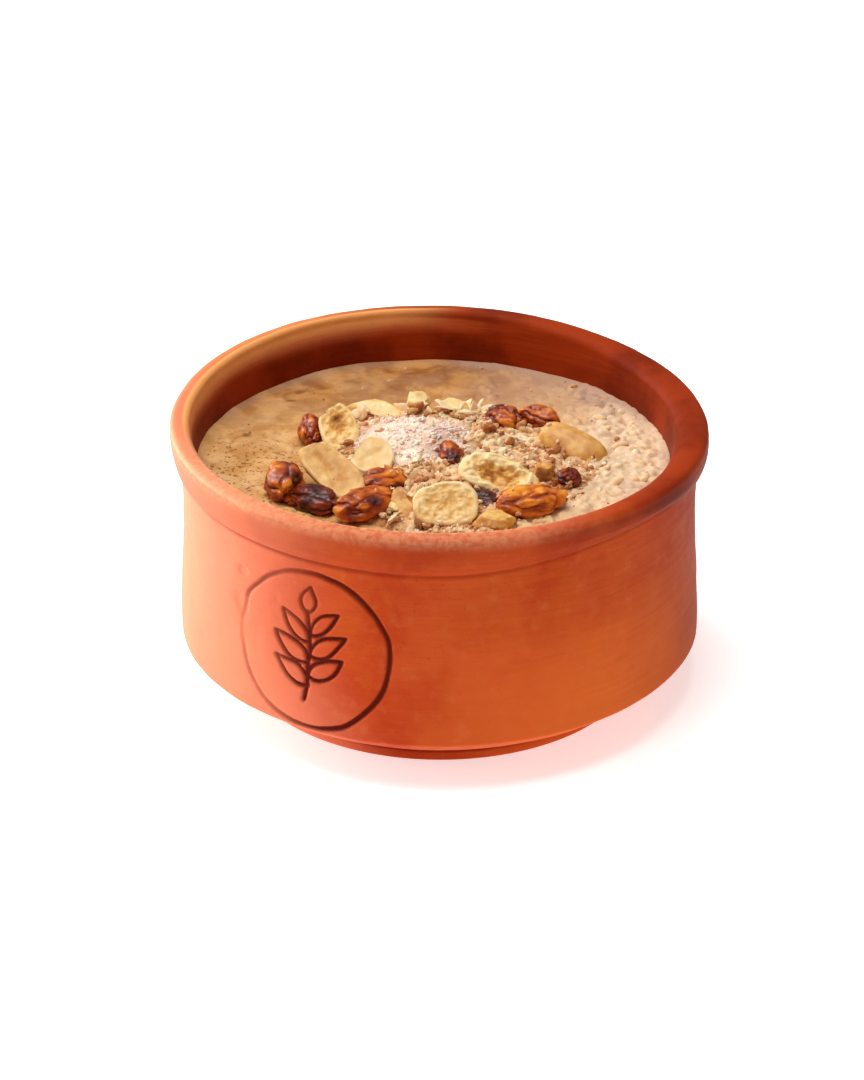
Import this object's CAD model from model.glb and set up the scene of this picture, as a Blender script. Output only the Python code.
"""The looks of the rice pudding in its clay bowl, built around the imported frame.

Lengths are in millimetres on the frame's axes, and become metres when a mesh is made.
The front of the bowl is at -Y, and its left side is at -X.
"""

import itertools
import math
from collections import namedtuple

import bmesh
import bpy
import numpy as np
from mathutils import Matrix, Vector, noise
from mathutils.bvhtree import BVHTree


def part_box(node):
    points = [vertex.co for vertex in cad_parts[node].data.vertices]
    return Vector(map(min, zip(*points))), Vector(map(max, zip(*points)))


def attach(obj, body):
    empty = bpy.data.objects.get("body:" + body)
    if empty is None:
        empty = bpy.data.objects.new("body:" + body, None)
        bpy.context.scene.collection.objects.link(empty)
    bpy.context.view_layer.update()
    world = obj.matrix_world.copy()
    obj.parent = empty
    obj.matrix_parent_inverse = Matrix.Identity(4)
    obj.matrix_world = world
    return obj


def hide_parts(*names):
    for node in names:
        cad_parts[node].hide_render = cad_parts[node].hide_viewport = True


MM = 0.001

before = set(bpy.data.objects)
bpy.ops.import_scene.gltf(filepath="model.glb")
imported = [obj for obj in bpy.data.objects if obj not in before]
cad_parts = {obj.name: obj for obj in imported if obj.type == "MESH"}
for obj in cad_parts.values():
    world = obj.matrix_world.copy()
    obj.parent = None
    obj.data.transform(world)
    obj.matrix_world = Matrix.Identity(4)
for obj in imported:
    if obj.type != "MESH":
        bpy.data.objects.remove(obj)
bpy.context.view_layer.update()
BOWL_LOW, BOWL_HIGH = (np.array(corner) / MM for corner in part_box("clay_bowl"))

# The bowl's profile, as the frame has it
BODY_OVAL, RIM_OVAL = 0.57, 0.95
OVAL_ANGLE = math.radians(7)
COLLAR_RADIUS = (BOWL_HIGH[0] - BOWL_LOW[0]) / 2 - RIM_OVAL
COLLAR_HEIGHT = 54.8
FOOT_RADIUS = COLLAR_RADIUS - 12.9
FOOT_HEIGHT = 2.2
SHOULDER_START = 3.0
SHOULDER_BEND = 1.8
BELLY_RADIUS = COLLAR_RADIUS - 0.3
BELLY_HEIGHT = 10.9
NECK_RADIUS = COLLAR_RADIUS - 2.2
NECK_HEIGHT = 47.4
COLLAR_STEP = 0.5
LIP_MIDDLE_RADIUS = COLLAR_RADIUS - 2.3
LIP_HEIGHT = 56.6
LIP_INNER_RADIUS = COLLAR_RADIUS - 4.3
MOUTH_WALL_RADIUS = COLLAR_RADIUS - 5.5
LOW_WALL_RADIUS = COLLAR_RADIUS - 6.9
LOW_WALL_HEIGHT = 18.0
FLOOR_HEIGHT = 6.5
FLOOR_RADIUS = 35.0
RIM_LEAN = (-0.017, 0.025)
RIM_WAVE = 0.53
WAVE_ANGLE = math.radians(-76)
RIM_START, RIM_END = 30.0, 46.0
FOOT_SHIFT = np.array((0.3, -1.6))
FOOT_SHIFT_END = 25.0
HOLLOW_SHIFT = -1.4
HOLLOW_SHIFT_START, HOLLOW_SHIFT_END = 20.0, 40.0
FOLD_START = 38.0
FOLD_CLIMB = 3.6  # towards the right of the front

# The round motif pressed into the front of the bowl
MOTIF_ANGLE = math.radians(-28.8)  # from the front, towards the left
MOTIF_HEIGHT = 28.0
MOTIF_RADIUS = 17.0
MOTIF_REACH = 20.0
GROOVE_DEPTH = 0.8
GROOVE_HALF_WIDTH = 0.68

# The pudding and what lies on it
PUDDING_LEVEL = 46.3
INTO_WALL = 0.35
HEAP_MIDDLE = np.array((3.0, -6.5))
HEAP_RADIUS = np.array((29.0, 29.5))
MOUND_MIDDLE = np.array((-5.0, 3.0))
MOUND_RADIUS = 11.0
PEAK_SHIFT = np.array((3.0, -1.5))
FLUFF_MIDDLE = np.array((-5.6, -7.4))
FLUFF_RADIUS = 4.0


# ---- numbers and noise


def clamp(value):
    return np.clip(value, 0, 1)


def step(low, high, value):
    """From 0 at low to 1 at high, easing in and out."""
    t = clamp((np.asarray(value, float) - low) / (high - low))
    return t * t * (3 - 2 * t)


def hump(value, middle, width):
    """1 in the middle, fading to 0 on both sides of it."""
    return np.exp(-(((value - middle) / width) ** 2))


def signed_power(value, power):
    return np.sign(value) * np.abs(value) ** power


def unit(way):
    """Each row at a length of 1."""
    way = np.asarray(way, float)
    return way / np.linalg.norm(way, axis=-1, keepdims=True)


def circle(count, start=0.0):
    return np.linspace(0, math.tau, count, endpoint=False) + start


def lattice(cells):
    """A number from -1 to 1 for each whole-number cell, always the same for the same cell."""
    mixed = (cells * (73856093, 19349663, 83492791)).sum(axis=-1) & 0xFFFFFFFF
    mixed = ((mixed ^ (mixed >> 15)) * 2246822519) & 0xFFFFFFFF
    mixed = ((mixed ^ (mixed >> 13)) * 3266489917) & 0xFFFFFFFF
    return ((mixed ^ (mixed >> 16)) & 0xFFFF) / 32767.5 - 1


def waves(points, grain, seed=0):
    """Smooth noise from about -1 to 1, whose bumps are about as wide as the grain. Points given
    without a height are at height 0."""
    scaled = np.zeros((len(points), 3))
    scaled[:, :np.shape(points)[1]] = points
    scaled = scaled / grain + 17.3 * seed
    cells = np.floor(scaled)
    t = scaled - cells
    t = t * t * (3 - 2 * t)
    cells = cells.astype(np.int64)
    total = np.zeros(len(scaled))
    for corner in itertools.product((0, 1), repeat=3):
        share = np.prod(np.where(corner, t, 1 - t), axis=1)
        total += share * lattice(cells + corner)
    return total


def roughness(points, grain, octaves=3, seed=0):
    """Noise with finer and weaker noise on it."""
    total = np.zeros(len(points))
    for octave in range(octaves):
        total += waves(points, grain / 2**octave, seed + octave) / 2**octave
    return total / 1.6


def push(kind, points, *settings, seed=0, axes=3):
    """Noise of a kind along each axis, to move points about."""
    return np.column_stack([kind(points, *settings, seed=seed + axis) for axis in range(axes)])


# ---- meshes


def signed_volume(points, quads):
    a, b, c, d = (points[quads[:, i]] for i in range(4))
    return (np.cross(b - a, c - a) * a).sum() + (np.cross(c - a, d - a) * a).sum()


def closed_grid(rings):
    """Points and faces of rings joined one after the other, with each end closed on its middle."""
    rows, columns = rings.shape[:2]
    points = np.concatenate([rings.reshape(-1, 3), [rings[0].mean(axis=0), rings[-1].mean(axis=0)]])
    start = np.arange(rows - 1)[:, None] * columns
    here = np.arange(columns)
    after = (here + 1) % columns
    quads = [start + here, start + after, start + columns + after, start + columns + here]
    quads = np.stack(quads, axis=-1).reshape(-1, 4)
    last = (rows - 1) * columns
    first_end = np.stack([after, here, np.full(columns, rows * columns)], axis=-1)
    last_end = np.stack([last + here, last + after, np.full(columns, rows * columns + 1)], axis=-1)
    faces = quads.tolist() + first_end.tolist() + last_end.tolist()
    if signed_volume(points, quads) < 0:
        faces = [face[::-1] for face in faces]
    return points, faces


def add_piece(name, points, faces, material, slot, replaced=(), **attributes):
    """A smooth piece on the body. Each attribute has a number from 0 to 1 at each point."""
    mesh = bpy.data.meshes.new(name)
    mesh.from_pydata((points * MM).tolist(), [], faces)
    mesh.polygons.foreach_set("use_smooth", [True] * len(mesh.polygons))
    for key, values in attributes.items():
        layer = mesh.attributes.new(key, "FLOAT", "POINT")
        layer.data.foreach_set("value", clamp(values).astype(np.float32))
    mesh.materials.append(material)
    mesh.update()
    piece = bpy.data.objects.new(name, mesh)
    bpy.context.scene.collection.objects.link(piece)
    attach(piece, "root")
    if replaced:
        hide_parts(*replaced)
    return piece


# ---- materials


def srgb(red, green, blue):
    """A colour given as a screen shows it, from 0 to 255, as the linear values that a shader takes."""
    channels = [c / 255 for c in (red, green, blue)]
    linear = [c / 12.92 if c <= 0.04045 else ((c + 0.055) / 1.055) ** 2.4 for c in channels]
    return (*linear, 1.0)


def make_node(tree, kind, inputs=None, **settings):
    """A shader node. An input takes a constant, another node's output or an attribute's name."""
    made = tree.nodes.new("ShaderNode" + kind)
    for key, value in settings.items():
        setattr(made, key, value)
    for key, value in (inputs or {}).items():
        if isinstance(value, str):
            value = make_node(tree, "Attribute", attribute_name=value).outputs["Fac"]
        if isinstance(value, bpy.types.NodeSocket):
            tree.links.new(value, made.inputs[key])
        else:
            made.inputs[key].default_value = value
    return made


class Paint:
    """A Principled material, whose colour is laid on in coats. Sizes are in millimetres."""

    def __init__(self, name, shader_roughness, **constants):
        self.material = bpy.data.materials.new(name)
        self.material.use_nodes = True
        self.tree = self.material.node_tree
        self.shader = self.tree.nodes["Principled BSDF"]
        self.shader.inputs["Roughness"].default_value = shader_roughness
        for key, value in constants.items():
            self.shader.inputs[key.replace("_", " ")].default_value = value
        self.place = self.node("TexCoord").outputs["Object"]
        self.color = None
        self.normal = None

    def node(self, kind, inputs=None, **settings):
        return make_node(self.tree, kind, inputs, **settings)

    def grain(self, size, detail=3.0, distortion=0.0, stretch=None):
        """Noise from 0 to 1 with grains of a size."""
        place = self.place
        if stretch:
            place = self.node("Mapping", {"Vector": place, "Scale": stretch}).outputs[0]
        inputs = {"Vector": place, "Scale": 1 / (size * MM), "Detail": detail, "Distortion": distortion}
        return self.node("TexNoise", inputs).outputs["Fac"]

    def range(self, value, low, high, to_low=0.0, to_high=1.0, kind="SMOOTHSTEP"):
        inputs = {"Value": value, "From Min": low, "From Max": high, "To Min": to_low, "To Max": to_high}
        return self.node("MapRange", inputs, interpolation_type=kind).outputs["Result"]

    def spots(self, size, detail, low, high, to_low=0.0, to_high=1.0, distortion=0.0):
        """Noise with grains of a size, spread out between two of its levels."""
        return self.range(self.grain(size, detail, distortion), low, high, to_low, to_high)

    def math(self, operation, a, b):
        return self.node("Math", {0: a, 1: b}, operation=operation).outputs[0]

    def mix(self, factor, a, b):
        """Two colours, or outputs that give one, mixed."""
        return self.node("Mix", {0: factor, 6: a, 7: b}, data_type="RGBA").outputs[2]

    def coat(self, color, where, share=1.0):
        """Lays a colour over the coats so far, which it covers where both numbers are 1."""
        if share != 1.0:
            where = self.math("MULTIPLY", where, share)
        self.color = self.mix(where, self.color, color)

    def ramp(self, value, colors):
        """Starts the coats with a colour read from a row of them, each with its place from 0 to 1."""
        made = self.node("ValToRGB", {"Fac": value})
        row = made.color_ramp.elements
        while len(row) < len(colors):
            row.new(0.5)
        for element, (position, color) in zip(row, colors.items()):
            element.position = position
            element.color = srgb(*color)
        self.color = made.outputs["Color"]

    def bump(self, height, depth, strength):
        """Relief too fine for the mesh, added to what is there. depth is in millimetres."""
        inputs = {"Height": height, "Distance": depth * MM, "Strength": strength}
        if self.normal:
            inputs["Normal"] = self.normal
        self.normal = self.node("Bump", inputs).outputs["Normal"]

    def finish(self, shader_roughness=None):
        outputs = {"Base Color": self.color, "Roughness": shader_roughness, "Normal": self.normal}
        for key, output in outputs.items():
            if output:
                self.tree.links.new(output, self.shader.inputs[key])
        return self.material


CLAY = srgb(200, 80, 32)
CLAY_RED = srgb(188, 62, 22)
CLAY_PALE = srgb(214, 112, 62)
CLAY_ORANGE = srgb(204, 90, 24)
CLAY_WET = srgb(116, 30, 2)
CLAY_DAMP = srgb(152, 48, 8)
CLAY_FLUSH = srgb(236, 112, 44)
CLAY_BLUSH = srgb(226, 140, 88)
CLAY_HAZE = srgb(230, 132, 100)
CLAY_GLOW = srgb(255, 176, 104)
CLAY_WORN = srgb(242, 172, 128)
CLAY_GROOVE = srgb(98, 20, 6)
CLAY_SHEEN = srgb(255, 206, 180)


def clay_material():
    paint = Paint(
        "terracotta", 0.6, IOR=1.3, Specular_IOR_Level=0.14, Sheen_Weight=0.03, Sheen_Roughness=0.5,
        Sheen_Tint=CLAY_SHEEN,
    )
    patches = paint.spots(16, 4.0, 0.38, 0.64)
    dust = paint.spots(3.2, 6.0, 0.50, 0.78)
    wheel = paint.range(paint.grain(2.4, 4.0, 0.0, (0.12, 0.12, 1.6)), 0.35, 0.65)
    paint.color = paint.mix(patches, CLAY_RED, CLAY)
    paint.coat(CLAY_ORANGE, paint.spots(11, 3.0, 0.52, 0.74, distortion=0.6), 0.55)
    paint.coat(CLAY_PALE, dust, 0.35)
    paint.coat(CLAY_RED, wheel, 0.16)
    paint.coat(CLAY_WET, paint.spots(0.55, 2.0, 0.66, 0.74), 0.35)
    paint.coat(paint.mix(dust, CLAY_BLUSH, CLAY_PALE), "blush")
    paint.coat(CLAY_FLUSH, "flush")
    paint.coat(CLAY_HAZE, "haze")
    paint.coat(paint.mix(patches, CLAY_WET, CLAY_DAMP), "moist")
    paint.coat(CLAY_GLOW, "glow")
    paint.coat(CLAY_WORN, "worn", paint.spots(1.1, 4.0, 0.34, 0.62, 0.45, 1.0))
    paint.coat(CLAY_WET, "stain", 0.6)
    paint.coat(CLAY_GROOVE, "groove")
    paint.bump(paint.grain(0.5), 0.05, 0.8)
    paint.bump(wheel, 0.08, 0.6)
    return paint.finish(paint.range("moist", 0.0, 1.0, 0.62, 0.55))


PUDDING_TAN = srgb(228, 178, 114)
PUDDING_GOLD = srgb(202, 144, 76)
PUDDING_BAKED = srgb(156, 96, 44)
PUDDING_CREAM = srgb(216, 180, 144)
PUDDING_PALE = srgb(226, 196, 162)
PUDDING_YELLOW = srgb(236, 194, 134)
PUDDING_ROSE = srgb(176, 140, 120)
CINNAMON = srgb(140, 88, 38)


def pudding_material():
    paint = Paint(
        "pudding", 0.5, Subsurface_Weight=0.2, Subsurface_Scale=0.001,
        Subsurface_Radius=(1.0, 0.6, 0.35), Specular_IOR_Level=0.35,
    )
    mottle = paint.spots(5.5, 4.0, 0.36, 0.66, distortion=0.5)
    pale = paint.range(paint.spots(1.6, 4.0, 0.44, 0.72), 0.0, 1.0, "lump", 1.0, "LINEAR")
    paint.color = paint.mix(mottle, PUDDING_GOLD, PUDDING_TAN)
    paint.coat(paint.mix(mottle, PUDDING_BAKED, PUDDING_GOLD), "baked")
    paint.coat(paint.mix(pale, PUDDING_CREAM, PUDDING_PALE), "cream")
    paint.coat(PUDDING_YELLOW, "yellow")
    paint.coat(PUDDING_ROSE, "rose")
    paint.coat(PUDDING_BAKED, paint.spots(1.1, 3.0, 0.58, 0.74), 0.35)
    paint.coat(CINNAMON, "spice", paint.spots(0.9, 3.0, 0.55, 0.68))
    paint.coat(CINNAMON, "fleck")
    paint.bump(paint.grain(1.1, 4.0), 0.12, 0.5)
    return paint.finish()


NUT_COLORS = {0.0: (248, 222, 166), 0.4: (232, 184, 102), 0.7: (204, 138, 54), 1.0: (140, 78, 30)}
NUT_SPECK = srgb(190, 128, 62)


def nut_material():
    paint = Paint(
        "peanut", 0.45, Subsurface_Weight=0.2, Subsurface_Scale=0.0012,
        Subsurface_Radius=(1.0, 0.7, 0.4), Specular_IOR_Level=0.4,
    )
    clouds = paint.spots(2.2, 4.0, 0.3, 0.7, -0.14, 0.14)
    paint.ramp(paint.math("ADD", "toast", clouds), NUT_COLORS)
    paint.coat(NUT_SPECK, paint.spots(0.5, 2.0, 0.66, 0.76), 0.3)
    paint.bump(paint.grain(0.7, 4.0), 0.08, 0.6)
    return paint.finish()


RAISIN_COLORS = {0.0: (56, 8, 4), 0.35: (128, 38, 6), 0.65: (196, 94, 12), 1.0: (244, 162, 50)}
RAISIN_BLOOM = srgb(172, 104, 60)


def raisin_material():
    paint = Paint(
        "raisin", 0.34, Subsurface_Weight=0.25, Subsurface_Scale=0.0012,
        Subsurface_Radius=(1.0, 0.35, 0.08), Specular_IOR_Level=0.36, Coat_Weight=0.12, Coat_Roughness=0.2,
    )
    clouds = paint.spots(2.4, 3.0, 0.3, 0.7, -0.14, 0.14)
    paint.ramp(paint.math("ADD", "amber", clouds), RAISIN_COLORS)
    paint.coat(RAISIN_BLOOM, paint.spots(3.0, 4.0, 0.50, 0.72), 0.22)
    paint.bump(paint.grain(0.8), 0.08, 0.5)
    return paint.finish()


CRUMB_COLORS = {
    0.0: (244, 220, 186), 0.30: (228, 188, 142), 0.55: (206, 154, 106), 0.78: (172, 108, 66),
    1.0: (112, 50, 30),
}
POWDER_ROSE = srgb(214, 172, 156)
POWDER_PALE = srgb(248, 220, 200)
FLUFF_WHITE = srgb(252, 236, 212)


def crumb_material(name, depth):
    """Crushed nuts: tint goes from the palest crumb at 0 to the darkest at 1."""
    paint = Paint(name, 0.8, Subsurface_Weight=0.3, Subsurface_Scale=0.0012, Specular_IOR_Level=0.2)
    grain = paint.spots(1.2, 4.0, 0.3, 0.7)
    cloud = paint.range(grain, 0.0, 1.0, -0.1, 0.1, "LINEAR")
    paint.ramp(paint.math("ADD", "tint", cloud), CRUMB_COLORS)
    pale = paint.math("MULTIPLY", paint.range(grain, 0.0, 1.0, 0.55, 1.3), "peak")
    paint.coat(paint.mix(pale, POWDER_ROSE, POWDER_PALE), "powder")
    paint.coat(FLUFF_WHITE, "fluff")
    paint.bump(paint.grain(0.45), depth, 0.7)
    return paint.finish()


COCONUT_COLORS = (srgb(252, 232, 220), srgb(238, 206, 192))
COCONUT_YELLOW = srgb(244, 212, 150)


def coconut_material():
    paint = Paint("coconut", 0.6, Subsurface_Weight=0.3, Subsurface_Scale=0.0006)
    paint.color = paint.mix(paint.spots(2.5, 3.0, 0.35, 0.65), *COCONUT_COLORS)
    paint.coat(COCONUT_YELLOW, "tint")
    paint.bump(paint.grain(0.4, 2.0), 0.04, 0.5)
    return paint.finish()


SPICE_COLORS = (srgb(126, 74, 34), srgb(172, 108, 56))
SPICE_BROWN = srgb(146, 88, 42)


def spice_material():
    paint = Paint("spice", 0.75)
    paint.color = paint.mix("tint", *SPICE_COLORS)
    paint.coat(SPICE_BROWN, paint.spots(0.5, 2.0, 0.4, 0.6))
    paint.bump(paint.grain(0.3, 2.0), 0.05, 0.6)
    return paint.finish()


# ---- the bowl


def arc(start, end, count, bend=1.0):
    """A quarter of a superellipse, as (radius, height), which leaves its start flat."""
    t = np.radians(np.linspace(0, 90, count))
    radius = start[0] + (end[0] - start[0]) * np.sin(t) ** bend
    return np.column_stack([radius, end[1] + (start[1] - end[1]) * np.cos(t) ** bend])


def steep_arc(start, end, count, bend=1.0):
    """The same, but leaving its start upright."""
    return arc(end, start, count, bend)[::-1]


def side_wall(start, end, count):
    """Points between two heights, the radius easing from one end to the other."""
    t = np.linspace(0, 1, count)
    radius = start[0] + (end[0] - start[0]) * step(0, 1, t)
    return np.column_stack([radius, start[1] + (end[1] - start[1]) * t])


# The corners of the foot: how far out from its radius they are, and how high
FOOT_CORNERS = (
    (-0.6, 0), (-0.15, 0.15), (0, 0.6), (0, FOOT_HEIGHT - 0.2), (-0.2, FOOT_HEIGHT),
    (-0.8, FOOT_HEIGHT + 0.3), (-0.6, FOOT_HEIGHT + 0.6),
)
LIP_TOP = (LIP_MIDDLE_RADIUS, LIP_HEIGHT)


def outer_profile():
    """(radius, height) up the outside of the bowl, from its foot to the top of its lip."""
    foot = [(0.5, 0), (20, 0)] + [(FOOT_RADIUS + out, up) for out, up in FOOT_CORNERS]
    belly, neck = (BELLY_RADIUS, BELLY_HEIGHT), (NECK_RADIUS, NECK_HEIGHT)
    shoulder = arc((FOOT_RADIUS + 0.3, SHOULDER_START), belly, 60, SHOULDER_BEND)
    collar_foot = (NECK_RADIUS + COLLAR_STEP, NECK_HEIGHT + 0.6)
    collar = arc(collar_foot, (COLLAR_RADIUS, COLLAR_HEIGHT), 30)
    lip = steep_arc((COLLAR_RADIUS, COLLAR_HEIGHT), LIP_TOP, 50, 0.55)
    return np.concatenate([foot, shoulder, side_wall(belly, neck, 40)[1:], collar, lip[1:]])


def inner_profile(into_wall=0.0):
    """(radius, height) down the inside of the bowl, from its mouth to its floor."""
    low = (LOW_WALL_RADIUS + into_wall, LOW_WALL_HEIGHT)
    side = side_wall((MOUTH_WALL_RADIUS + into_wall, PUDDING_LEVEL), low, 20)
    floor_height = FLOOR_HEIGHT - into_wall
    corner = steep_arc(low, (FLOOR_RADIUS, floor_height), 12)
    return np.concatenate([side, corner[1:], [(0.5, floor_height)]])


def bowl_profile():
    lip = arc(LIP_TOP, (LIP_INNER_RADIUS, COLLAR_HEIGHT), 30, 0.9)
    mouth = [(MOUTH_WALL_RADIUS + 0.35, 50.0)]
    return np.concatenate([outer_profile(), lip[1:], mouth, inner_profile()])


FINE_GAP = 0.3  # between the bowl's points at the motif
COARSE_COLUMNS = 216  # round the rest of the bowl


def spaced(profile):
    """The profile with points close together where there is something fine to show."""
    along = np.append(0, np.cumsum(np.linalg.norm(np.diff(profile, axis=0), axis=1)))
    outside_end = along[np.argmax(profile[:, 1])]
    places = [0.0]
    while places[-1] < along[-1]:
        radius, height = (np.interp(places[-1], along, column) for column in profile.T)
        outside = places[-1] < outside_end
        if radius < FOOT_RADIUS - 2 or (height < PUDDING_LEVEL - 3 and not outside):
            gap = 2.6
        elif outside and abs(height - MOTIF_HEIGHT) < MOTIF_REACH:
            gap = FINE_GAP
        elif outside and height < MOTIF_HEIGHT:
            gap = 0.35
        else:
            gap = 0.5
        places.append(places[-1] + gap)
    places[-1] = along[-1]
    return np.column_stack([np.interp(places, along, column) for column in profile.T])


def bowl_angles():
    """Angles round the bowl, from the front towards the right, close together at the motif."""
    half = MOTIF_REACH / BELLY_RADIUS
    fine = np.arange(-half, half, FINE_GAP / BELLY_RADIUS)
    rest = np.linspace(half, math.tau - half, COARSE_COLUMNS, endpoint=False)
    return np.concatenate([fine, rest]) + MOTIF_ANGLE


def leaf(foot, tip, width):
    """Two strokes, from the foot of a leaf to its tip."""
    foot, run = np.array(foot), np.subtract(tip, foot)
    t = np.linspace(0, 1, 9)[:, None]
    bulge = unit((-run[1], run[0])) * width / 2 * np.sin(math.pi * t**0.8)
    return [foot + run * t + bulge, foot + run * t - bulge]


# Each pair of leaves: how high it starts, how far out and up it reaches, and how wide it is
LEAVES = ((-7.0, 7.4, 4.6, 3.6), (-2.6, 7.8, 5.4, 3.8), (2.2, 6.4, 5.6, 3.2))


def motif_strokes():
    """A ring round a sprig of leaves, as (points, half width) in the plane of the motif."""
    angle = np.linspace(0, math.tau, 73)
    wobble = 1 + 0.012 * np.sin(2 * angle + 0.7) + 0.006 * np.sin(5 * angle)
    ring = MOTIF_RADIUS * wobble[:, None] * np.column_stack([np.cos(angle), np.sin(angle)])
    t = np.linspace(-1, 1, 13)
    stem = np.column_stack([1.2 * np.cos(1.4 * t) - 1.0, 9.5 * t - 1.5])
    outlines = leaf((-0.8, 7.6), (0.2, 13.6), 3.4)
    for height, reach, rise, width in LEAVES:
        for side in (-1, 1):
            foot = (0.1, height + 0.8 * side)
            outlines += leaf(foot, (side * reach, foot[1] + rise), width)
    strokes = [(line, 0.8 * GROOVE_HALF_WIDTH) for line in outlines]
    return strokes + [(ring, GROOVE_HALF_WIDTH), (stem, GROOVE_HALF_WIDTH)]


def stroke_depth(places):
    """How deep the motif is cut at each place, from 0 to 1."""
    deepest = np.zeros(len(places))
    for line, half_width in motif_strokes():
        for start, end in zip(line, line[1:]):
            run = end - start
            t = clamp(((places - start) @ run) / (run @ run))
            off = np.linalg.norm(places - start - t[:, None] * run, axis=1) / half_width
            deepest = np.maximum(deepest, clamp(1 - off**2) ** 0.8)
    return deepest


def motif_cut(on_body, angle, height, outside):
    """How deep the motif is cut at each point, from 0 to 1. It fades towards its left."""
    turn = np.angle(np.exp(1j * (angle - MOTIF_ANGLE))) * BELLY_RADIUS
    places = np.column_stack([turn, height - MOTIF_HEIGHT])
    near = (np.abs(places) < MOTIF_REACH).all(axis=1) & (outside > 0)
    cut = np.zeros(len(turn))
    cut[near] = stroke_depth(places[near] + 0.3 * push(waves, places[near], 4, seed=20, axes=2))
    return cut * (0.66 + 0.2 * waves(on_body, 9, 23) + 0.45 * np.clip(turn / MOTIF_RADIUS, -1, 0.3))


def around(angle):
    """The way out from the bowl's axis, at an angle from the front towards the right."""
    return np.column_stack([np.sin(angle), -np.cos(angle)])


def hollow_shift(height):
    """How far to the right the middle of the hollow is."""
    return HOLLOW_SHIFT * step(HOLLOW_SHIFT_START, HOLLOW_SHIFT_END, height)


def hand_thrown(radius, angle, height, outside):
    """Points of the turned shape, made oval, leaning and off centre as the CAD bowl is."""
    polar = angle - math.pi / 2
    rim = step(RIM_START, RIM_END, height)
    oval = (BODY_OVAL + (RIM_OVAL - BODY_OVAL) * rim) * np.cos(2 * (polar - OVAL_ANGLE))
    places = around(angle) * (radius * (1 + outside * oval / BELLY_RADIUS))[:, None]
    foot = outside * (1 - step(0, FOOT_SHIFT_END, height))
    places += foot[:, None] * FOOT_SHIFT
    places[:, 0] += (1 - outside) * hollow_shift(height)
    x = places[:, 0]
    near_fold = step(FOLD_START, NECK_HEIGHT, height) * step(COLLAR_HEIGHT, NECK_HEIGHT + 0.6, height)
    climb = FOLD_CLIMB * step(0, 46, x) * (1 - 0.5 * step(42, 54, x))
    wave = RIM_WAVE * np.cos(2 * (polar - WAVE_ANGLE))
    raised = height + rim * (places @ RIM_LEAN + wave) + outside * near_fold * climb
    return np.column_stack([places, np.maximum(raised, 0)])


def clay_relief(on_body, height, outside):
    """How far hand work moves each point out: a slow wobble, dents, the wheel's rings, grit, nicks."""
    relief = 0.22 * waves(on_body, 26, 1) + 0.10 * roughness(on_body, 7, 3, 2)
    rings = waves(on_body * (0.05, 0.05, 1.0), 1.7, 5) * (0.5 + 0.5 * waves(on_body, 18, 6))
    relief += 0.07 * rings + 0.035 * roughness(on_body, 1.1, 2, 8)
    nicks = step(0.55, 0.9, waves(on_body, 3.4, 11)) * step(0.1, 0.5, waves(on_body, 15, 12))
    fold = 0.25 * hump(height, NECK_HEIGHT + 0.2, 0.4)
    under_lip = 0.16 * hump(height, COLLAR_HEIGHT + 0.2, 0.35) * (0.6 + 0.4 * waves(on_body, 9, 13))
    return relief - 0.22 * nicks - (fold + under_lip) * (outside == 1)


def clay_looks(on_body, radius, outside, inside):
    """The numbers that tell the clay's colours at each point."""
    x, y, height = on_body.T
    drop = LIP_HEIGHT - height
    right = step(-40, 20, x)
    collar = step(NECK_HEIGHT, NECK_HEIGHT + 1, height)
    far_left = step(20, -30, x - 0.8 * y)
    damp = drop - 1.6 * far_left + 1.6 * step(10, 40, x) + 0.6 * waves(on_body, 8, 30)
    moist = step(1.2, 5.0, damp) * (1 - outside)
    moist += 0.4 * step(34, 54, x) * outside * (1 - collar)
    moist += 0.5 * step(28, 48, y - 0.6 * np.abs(x + 4)) * (height > COLLAR_HEIGHT)
    moist += collar * (0.36 * outside * (drop > 1) + 0.95 * step(2, 46, x + 0.3 * y))
    stain = hump(height, NECK_HEIGHT + 0.1, 0.55) * (1.1 - 0.6 * right + 0.3 * waves(on_body, 12, 35))
    stain += hump(height, COLLAR_HEIGHT + 0.4, 0.45) * (0.22 + 0.3 * waves(on_body, 6, 31))
    stain += hump(height, FOOT_HEIGHT + 0.4, 0.6) * (0.5 + 0.4 * right)
    left = step(10, -50, x - 0.35 * y + 5 * waves(on_body, 14, 33))
    blush = left * step(NECK_HEIGHT, COLLAR_HEIGHT, height) * (0.8 + 0.2 * waves(on_body, 6, 34))
    flush = step(-8, 30, x) * step(56, 44, x) * step(46, 16, height)
    low = np.clip(28 - height, 0, None)
    haze = step(-27, -50, x + 0.2 * y - 0.5 * low) * step(34, 0, y)
    glow = step(-34, -52, x - 0.8 * y) * step(4.6, 1.4, drop) * step(-40, -20, y)
    worn = step(1.0, 0.2, drop) * inside + 0.6 * step(3.2, 0.3, drop) * (outside == 1)
    return {
        "moist": moist,
        "stain": stain * (outside == 1) * (radius > FOOT_RADIUS - 1),
        "blush": blush,
        "flush": 0.75 * flush * outside,
        "haze": 0.75 * haze * outside,
        "glow": glow * inside,
        "worn": 0.85 * worn * step(0, -30, y) * step(36, 8, x),
    }


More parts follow.
